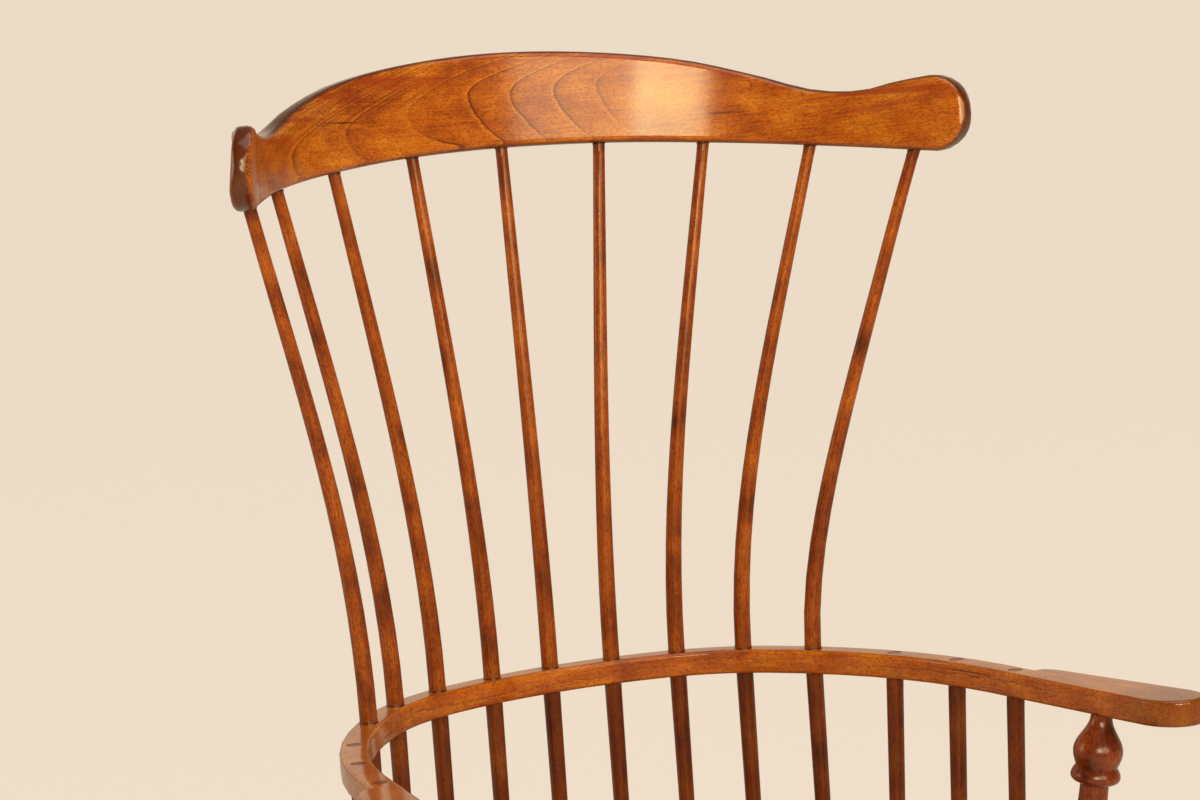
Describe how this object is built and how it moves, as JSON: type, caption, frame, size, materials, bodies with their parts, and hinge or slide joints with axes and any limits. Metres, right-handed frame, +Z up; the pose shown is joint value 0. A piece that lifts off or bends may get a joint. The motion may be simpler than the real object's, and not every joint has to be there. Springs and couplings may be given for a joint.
{
  "type": "windsor armchair",
  "caption": "High back Windsor armchair with a curved eared crest, long bent spindles through a raked U-shaped arm rail, turned arm posts, saddled seat and turned legs.",
  "frame": {"origin": "on the floor, below the centre of the chair's bounding box", "axes": "+Z up, +X to the right of someone who looks at the chair's front, the sitter faces -Y"},
  "size_m": [0.6622, 0.5654, 1.1602],
  "materials": {
    "stained_maple": "gloss lacquer over amber stain",
    "stained_seat": "gloss lacquer over amber stain"
  },
  "bodies": {
    "root": {"crest_rail": "stained_maple", "arm_rail": "stained_maple", "hand_block_left": "stained_maple", "hand_block_right": "stained_maple", "long_spindle_1": "stained_maple", "long_spindle_2": "stained_maple", "long_spindle_3": "stained_maple", "long_spindle_4": "stained_maple", "long_spindle_5": "stained_maple", "long_spindle_6": "stained_maple", "long_spindle_7": "stained_maple", "long_spindle_8": "stained_maple", "long_spindle_9": "stained_maple", "short_spindle_left_1": "stained_maple", "short_spindle_left_2": "stained_maple", "short_spindle_left_3": "stained_maple", "short_spindle_right_1": "stained_maple", "short_spindle_right_2": "stained_maple", "short_spindle_right_3": "stained_maple", "arm_post_left": "stained_maple", "arm_post_right": "stained_maple", "seat": "stained_seat", "leg_front_left": "stained_maple", "leg_front_right": "stained_maple", "leg_back_left": "stained_maple", "leg_back_right": "stained_maple", "side_stretcher_left": "stained_maple", "side_stretcher_right": "stained_maple", "medial_stretcher": "stained_maple"}
  },
  "joints": []
}
